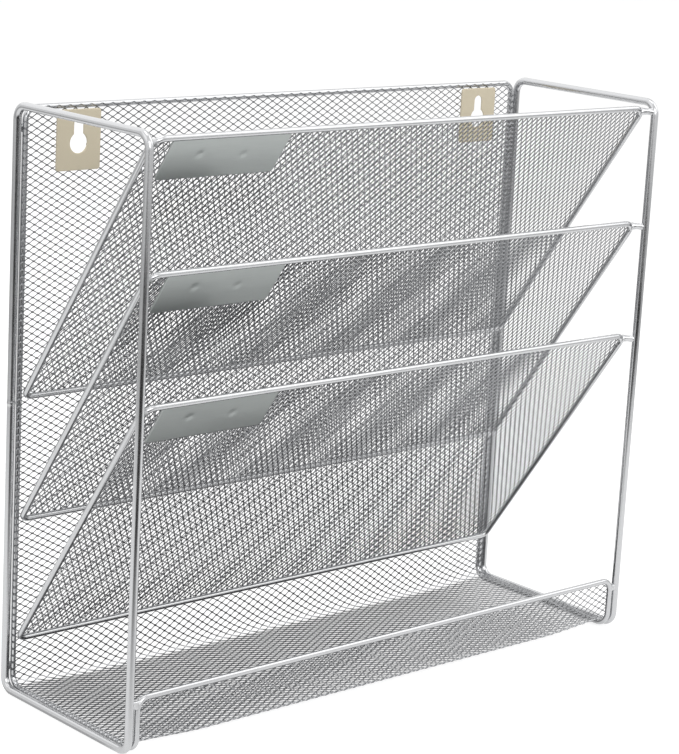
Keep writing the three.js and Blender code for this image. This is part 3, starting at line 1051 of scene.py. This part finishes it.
@dataclass
class Organizer:
    """The whole organizer, built from its sub-assemblies in order."""

    lip_lift: dict[Side, float] = field(default_factory=lambda: {Side.LEFT: 1.0 * MM, Side.RIGHT: -0.8 * MM})
    back_set: float = 0.7 * MM
    side_seed: int = 1
    shelf_seed: int = 5
    foot_seam: Seam = Seam(share=0.693)

    def build(self) -> None:
        """Makes every piece."""
        frames = [SideFrame(side) for side in Side]
        basket = Basket()
        shelves = [Shelf("top"), Shelf("middle"), Shelf("bottom", seam=self.foot_seam)]
        for piece in [*frames, basket, *shelves, *map(HangingPlate, Side)]:
            piece.build()
        for number, frame in enumerate(frames):
            self._side_welds(frame, basket, number + self.side_seed)
            self._shelf_welds(frame, shelves, number + self.shelf_seed)

    def _side_welds(self, frame: SideFrame, basket: Basket, seed: int) -> None:
        """Makes the beads between a side frame and the basket, at the lip's corner and behind the back.

        Args:
            frame: The side frame.
            basket: The basket.
            seed: What the beads' ripples start from.
        """
        side = frame.side
        lip = (Bead.LIP, 0.0, self.lip_lift[side], basket.lip_top)
        back = (Bead.BACK, self.back_set, 0.0, basket.top)
        for name, place in (("lip_weld", lip), ("back_top_weld", back), ("back_bottom_weld", back)):
            kind, move_y, move_z, corner_top = place
            node = f"{name}_{side.word}"
            low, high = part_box(node)
            y, z = (low.y + high.y) / 2 + move_y, (low.z + high.z) / 2 + move_z
            start = np.array([frame.x, y, z])
            end = np.array([side.value * basket.half, y, z])
            corner = (basket.corner, corner_top - basket.corner)
            WeldBead(kind, f"{side.word}_{name}", node, start, end, seed, *corner).build()

    @staticmethod
    def _shelf_welds(frame: SideFrame, shelves: list[Shelf], seed: int) -> None:
        """Makes the beads between a side frame and the front corners of the shelves.

        Args:
            frame: The side frame.
            shelves: The shelves.
            seed: What the beads' ripples start from.
        """
        side = frame.side
        for shelf in shelves:
            turn = shelf.corner * (1 - math.sqrt(0.5))
            end = shelf.place(np.array(side.value * (shelf.half - turn)), np.array(turn), np.array(0.0))
            start = np.array([frame.x, frame.front, end[2]])
            name = f"{side.word}_{shelf.level}_shelf_weld"
            node = f"{shelf.level}_shelf_weld_{side.word}"
            WeldBead(Bead.SHELF, name, node, start, end, seed).build()


# Studio


@dataclass(frozen=True)
class SoftBox:
    """An area lamp that faces the organizer."""

    name: str
    place: tuple[float, float, float]
    size: tuple[float, float]
    power: float

    def build(self, target: Vector) -> None:
        """Makes the lamp and turns it to the target.

        Args:
            target: The point that it faces.
        """
        lamp = bpy.data.lights.new(self.name, "AREA")
        lamp.shape = "RECTANGLE"
        lamp.size, lamp.size_y = self.size
        lamp.energy = self.power
        holder = bpy.data.objects.new(self.name, lamp)
        holder.location = self.place
        holder.rotation_euler = (target - Vector(self.place)).to_track_quat("-Z", "Y").to_euler()
        bpy.context.scene.collection.objects.link(holder)


@dataclass(frozen=True)
class PaintedShadeCard:
    """A card of painted shade that lies on the floor and that only reflections see.

    Its shade is a sector in front of the organizer, a painted reflection of the unlit room, whose right edge
    turns further out with the distance; a patch under the organizer, a painted shadow seen in reflections;
    and a little everywhere further off, a painted darkening of the far floor in reflections. A heading of 0
    is straight in front, and a quarter turn is to the right.
    """

    half: float = 2.4
    lift: float = 0.5 * MM
    left_edge: tuple[float, float] = (-66.0, 24.0)
    right_edge: tuple[float, float] = (-9.0, 32.0)
    turn: tuple[float, float] = (30.0, 0.4)
    ramp: tuple[float, float] = (0.08, 0.4)
    under_x: tuple[float, float] = (-0.165, 0.165)
    under_y: tuple[float, float] = (-0.04, 0.06)
    under_soft: float = 0.02
    under_shade: float = 0.98
    far: tuple[float, float] = (0.45, 0.45)
    far_shade: float = 0.5
    fade: float = 0.8
    count: int = 121
    dense: float = 0.15

    def shades(self, x: Points, y: Points) -> Points:
        """How dark the card's painted shade is at each place.

        Each shade leaves the rest of the light, and what they leave together fades out at the card's edge.
        Each of them is a product of eased steps of its own width.

        Args:
            x: Places across the floor.
            y: Places along the floor.

        Returns:
            0 where the card is clear, up to 1 where it is black.
        """
        distance = np.hypot(x, y)
        heading = np.degrees(np.arctan2(x, -y))
        # The sector in front of the organizer: a painted reflection of the unlit room.
        turned = self.right_edge[0] + self.turn[0] * eased((distance - self.turn[1]) / self.turn[1])
        sector = stepped(heading, *self.left_edge)
        sector *= stepped(turned, heading, self.right_edge[1])
        sector *= eased((distance - self.ramp[0]) / self.ramp[1])
        # The patch under the organizer: a painted shadow, seen only in reflections.
        under = np.full(x.shape, self.under_shade)
        for place, (low, high) in ((x, self.under_x), (y, self.under_y)):
            under *= stepped(place, low, self.under_soft) * stepped(high, place, self.under_soft)
        # Further off: a painted darkening of the floor in reflections.
        far = self.far_shade * eased((distance - self.far[0]) / self.far[1])
        left = (1 - sector) * (1 - under) * (1 - far)
        edge = np.maximum(np.abs(x), np.abs(y))
        return (1 - left) * eased((self.half - edge) / self.fade)

    def build(self) -> None:
        """Makes the card: a grid whose places along a side are half (dense s + (1 - dense) s^3)."""
        s = np.linspace(-1, 1, self.count)
        side = self.half * (self.dense * s + (1 - self.dense) * s**3)
        x, y = np.meshgrid(side, side, indexing="ij")
        points = np.stack([x, y, np.full(x.shape, self.lift)], axis=-1).reshape(-1, 3)
        card = mesh_object("painted_shade_card", points, grid_faces(self.count, self.count)[:, ::-1])
        values = card.data.attributes.new("shade", "FLOAT", "POINT")
        values.data.foreach_set("value", self.shades(x, y).astype(np.float32).ravel())
        card.data.materials.append(self._material())
        # Only glossy rays see the card, so its shade is painted into reflections alone.
        for ray in ("camera", "shadow", "diffuse", "transmission"):
            setattr(card, "visible_" + ray, False)

    @staticmethod
    def _material() -> bpy.types.Material:
        """Black where the card's painted shade is 1, and clear where it is 0.

        Returns:
            The material.
        """
        material = bpy.data.materials.new("painted_shade_card")
        tree = cleared_tree(material)
        shade = node_of(tree, "ShaderNodeAttribute", attribute_name="shade").outputs["Fac"]
        clear = node_of(tree, "ShaderNodeBsdfTransparent").outputs["BSDF"]
        black = node_of(tree, "ShaderNodeEmission", Color=(0, 0, 0, 1)).outputs["Emission"]
        mix = node_of(tree, "ShaderNodeMixShader", shade, clear, black)
        node_of(tree, "ShaderNodeOutputMaterial", mix.outputs["Shader"])
        return material


@dataclass(frozen=True)
class Studio:
    """Camera, floor, world, lamps and the card of painted shade."""

    camera_place: tuple[float, float, float] = (-0.79510, -0.87787, 0.43330)
    view: tuple[float, float, float] = (0.65247572, 0.72116583, -0.23279881)
    up: tuple[float, float, float] = (0.11511631, 0.20931182, 0.97104933)
    lens: float = 115.08
    sensor: float = 36.0
    target: tuple[float, float, float] = (0.0, 0.0, 0.14)
    floor_half: float = 12.0
    floor_colour: float = 0.5
    floor_glow: float = 0.75
    fill: float = 0.5
    boxes: tuple[SoftBox, ...] = (
        SoftBox("right_box", (1.04, -0.62, 1.2), (1.3, 1.3), 5.8),
        SoftBox("left_box", (-1.5, 0.1, 1.3), (1.3, 1.3), 2.6),
        SoftBox("top_box", (0.0, 0.0, 2.2), (1.1, 1.1), 6.0),
        SoftBox("rear_box", (0.0, 1.2, 1.4), (2.4, 1.6), 4.8),
        SoftBox("front_box", (-0.6, -2.0, 1.1), (1.6, 1.2), 15.0),
    )
    card: PaintedShadeCard = PaintedShadeCard()

    def build(self) -> None:
        """Makes the whole studio."""
        self._camera()
        self._world()
        self._floor()
        for box in self.boxes:
            box.build(Vector(self.target))
        self.card.build()
        bpy.context.scene.view_settings.view_transform = "Standard"

    def _camera(self) -> None:
        """Places the camera where the photograph was taken from."""
        data = bpy.data.cameras.new("camera")
        data.lens = self.lens
        data.sensor_width = self.sensor
        camera = bpy.data.objects.new("camera", data)
        forward, up = Vector(self.view), Vector(self.up)
        right = forward.cross(up)
        turned = Matrix((right, up, -forward)).transposed().to_4x4()
        camera.matrix_world = Matrix.Translation(self.camera_place) @ turned
        bpy.context.scene.collection.objects.link(camera)
        bpy.context.scene.camera = camera

    def _world(self) -> None:
        """A white surround for the camera and for reflections, and a softer light for the rest."""
        world = bpy.data.worlds.new("surround")
        bpy.context.scene.world = world
        tree = cleared_tree(world)
        white, fill = [
            node_of(tree, "ShaderNodeBackground", Color=WHITE, Strength=strength).outputs["Background"]
            for strength in (1.0, self.fill)
        ]
        mix = node_of(tree, "ShaderNodeMixShader", self._seen_ray(tree), fill, white)
        node_of(tree, "ShaderNodeOutputWorld", mix.outputs["Shader"])

    @staticmethod
    def _seen_ray(tree: bpy.types.NodeTree) -> bpy.types.NodeSocket:
        """1 for camera, glossy and transmission rays, and 0 for the rest.

        Args:
            tree: The node tree.

        Returns:
            The socket that gives it.
        """
        ray = node_of(tree, "ShaderNodeLightPath").outputs
        seen = ray["Is Camera Ray"]
        for other in ("Is Glossy Ray", "Is Transmission Ray"):
            seen = node_of(tree, "ShaderNodeMath", seen, ray[other], operation="MAXIMUM").outputs["Value"]
        return seen

    def _floor(self) -> None:
        """A wide white floor: white light to the camera and to reflections, with the lamps' light on top."""
        half = self.floor_half
        points = np.array([(-half, -half, 0), (half, -half, 0), (half, half, 0), (-half, half, 0)])
        floor = mesh_object("floor", points, np.array([[0, 1, 2, 3]]), smooth=False)
        material = bpy.data.materials.new("floor_white")
        tree = cleared_tree(material)
        grey = (*[self.floor_colour] * 3, 1)
        matte = node_of(tree, "ShaderNodeBsdfDiffuse", Color=grey).outputs["BSDF"]
        seen = self._seen_ray(tree)
        share = node_of(tree, "ShaderNodeMath", seen, self.floor_glow, operation="MULTIPLY").outputs["Value"]
        glow = node_of(tree, "ShaderNodeEmission", Color=WHITE, Strength=share).outputs["Emission"]
        both = node_of(tree, "ShaderNodeAddShader", matte, glow)
        node_of(tree, "ShaderNodeOutputMaterial", both.outputs["Shader"])
        floor.data.materials.append(material)


def main() -> None:
    """Loads the frame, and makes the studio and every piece."""
    logging.basicConfig(level=logging.INFO, format="%(message)s")
    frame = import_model()
    LOG.info("frame: %d nodes", len(frame["nodes"]))
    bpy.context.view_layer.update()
    Studio().build()
    Organizer().build()
    bpy.context.view_layer.update()


if __name__ == "__main__":
    main()
